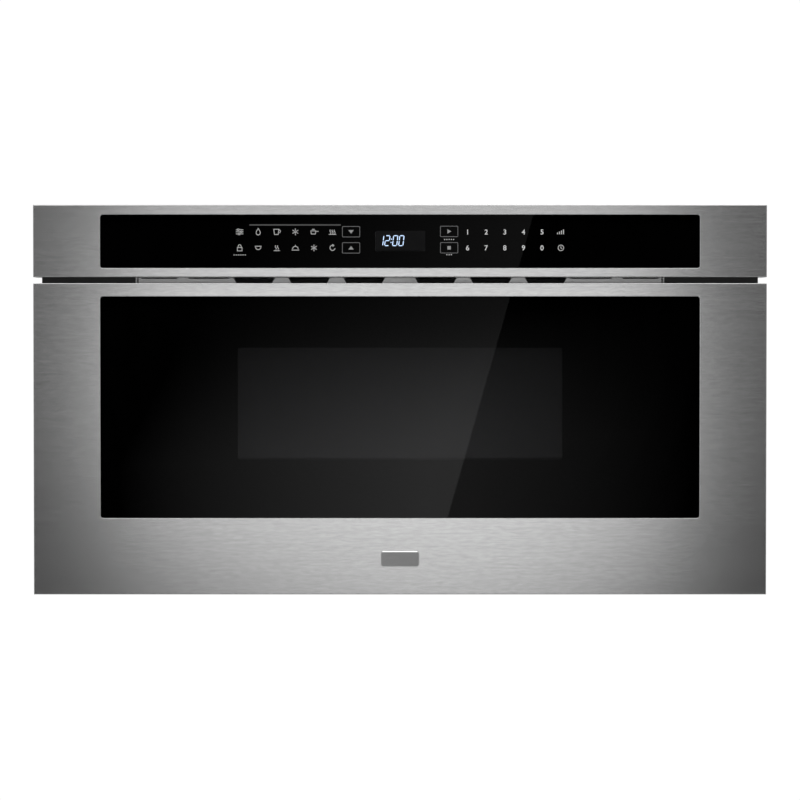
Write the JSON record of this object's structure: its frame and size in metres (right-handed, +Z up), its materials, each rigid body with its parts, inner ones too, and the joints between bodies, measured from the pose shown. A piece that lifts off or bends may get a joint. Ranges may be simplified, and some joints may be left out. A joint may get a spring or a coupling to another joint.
{
  "type": "microwave drawer",
  "caption": "Under-counter microwave oven whose powered drawer, with tub and window, slides out below a glass control panel.",
  "frame": {"origin": "middle of the footprint, on the surface that the oven stands on, drawer closed", "axes": "+Z up, +Y from the front panels to the back, +X to the right of a person facing the oven"},
  "size_m": [0.759, 0.6348, 0.4045],
  "materials": {
    "stainless": "horizontal brushed grain",
    "plated_steel": "zinc plated",
    "bright_steel": "polished",
    "black_steel": "black, satin",
    "cavity_paint": "grey enamel",
    "dark_glass": "tinted, polished",
    "clear_glass": "clear",
    "tray_glass": "glazed",
    "black_plastic": "moulded",
    "white_plastic": "moulded",
    "grey_plastic": "moulded",
    "circuit_board": "solder mask",
    "touch_film": "printed film",
    "lamination": "varnished",
    "copper": "enamelled copper",
    "aluminium": "plain",
    "bulb_glass": "clear"
  },
  "bodies": {
    "cabinet": {"control_fascia": "stainless", "control_glass": "dark_glass", "slide_outers": "plated_steel", "slide_brackets": "plated_steel", "drive_bracket": "plated_steel", "drive_motor": "grey_plastic", "switch_holders": "white_plastic", "interlock_switches": "black_plastic", "front_frame": "black_steel", "vent_grille": "plated_steel", "air_duct": "black_steel", "cabinet_screws": "plated_steel", "base_skids": "black_plastic", "base_plate": "plated_steel", "cabinet_wrap": "plated_steel", "back_panel": "plated_steel", "cord_bushing": "black_plastic", "oven_cavity": "cavity_paint", "touch_panel": "touch_film", "control_chassis": "black_plastic", "display_module": "grey_plastic", "control_board": "circuit_board", "waveguide": "plated_steel", "stirrer_motor": "plated_steel", "stirrer_cover": "white_plastic", "magnetron_yoke": "plated_steel", "magnetron_anode": "copper", "magnetron_fins": "aluminium", "magnetron_antenna": "aluminium", "fan_shroud": "plated_steel", "fan_motor": "lamination", "transformer_core": "lamination", "transformer_coils": "copper", "hv_capacitor": "aluminium", "hv_diode": "black_plastic", "noise_filter": "circuit_board", "lamp_housing": "plated_steel", "oven_lamp": "bulb_glass", "thermal_cutouts": "black_plastic", "humidity_sensor": "black_plastic"},
    "drawer": {"drawer_skin": "stainless", "drawer_glass": "dark_glass", "glass_carrier": "black_plastic", "window_screen": "black_steel", "inner_pane": "clear_glass", "choke_frame": "plated_steel", "choke_cover": "black_plastic", "badge_plate": "bright_steel", "drawer_tub": "cavity_paint", "glass_tray": "tray_glass", "slide_inners": "plated_steel", "drawer_arms": "plated_steel", "drive_rack": "white_plastic", "latch_hooks": "black_plastic"},
    "slide_right": {"slide_middle_right": "plated_steel"},
    "slide_left": {"slide_middle_left": "plated_steel"},
    "pinion": {"drive_pinion": "white_plastic"},
    "fan": {"fan_blade": "grey_plastic"},
    "mode_stirrer": {"stirrer": "aluminium"}
  },
  "joints": [
    {"name": "drawer_slide", "type": "slide", "parent": "cabinet", "child": "drawer", "axis": [0, -1, 0], "range_m": [0, 0.381]},
    {"name": "right_slide", "type": "slide", "parent": "cabinet", "child": "slide_right", "axis": [0, -1, 0], "range_m": [0, 0.1905]},
    {"name": "left_slide", "type": "slide", "parent": "cabinet", "child": "slide_left", "axis": [0, -1, 0], "range_m": [0, 0.1905]},
    {"name": "pinion_turn", "type": "hinge", "parent": "cabinet", "child": "pinion", "pos_m": [0, -0.23465, 0.0362], "axis": [1, 0, 0], "range_deg": [-1700, 1700]},
    {"name": "fan_turn", "type": "hinge", "parent": "cabinet", "child": "fan", "pos_m": [0.12, 0.22935, 0.2502], "axis": [1, 0, 0], "continuous": true},
    {"name": "stirrer_turn", "type": "hinge", "parent": "cabinet", "child": "mode_stirrer", "pos_m": [0, -0.05965, 0.2942], "axis": [0, 0, 1], "continuous": true}
  ],
  "couplings": [
    {"joint": "right_slide", "follows": "drawer_slide", "ratio": 0.5},
    {"joint": "left_slide", "follows": "drawer_slide", "ratio": 0.5},
    {"joint": "pinion_turn", "follows": "drawer_slide", "rad_per_m": 74.074}
  ]
}
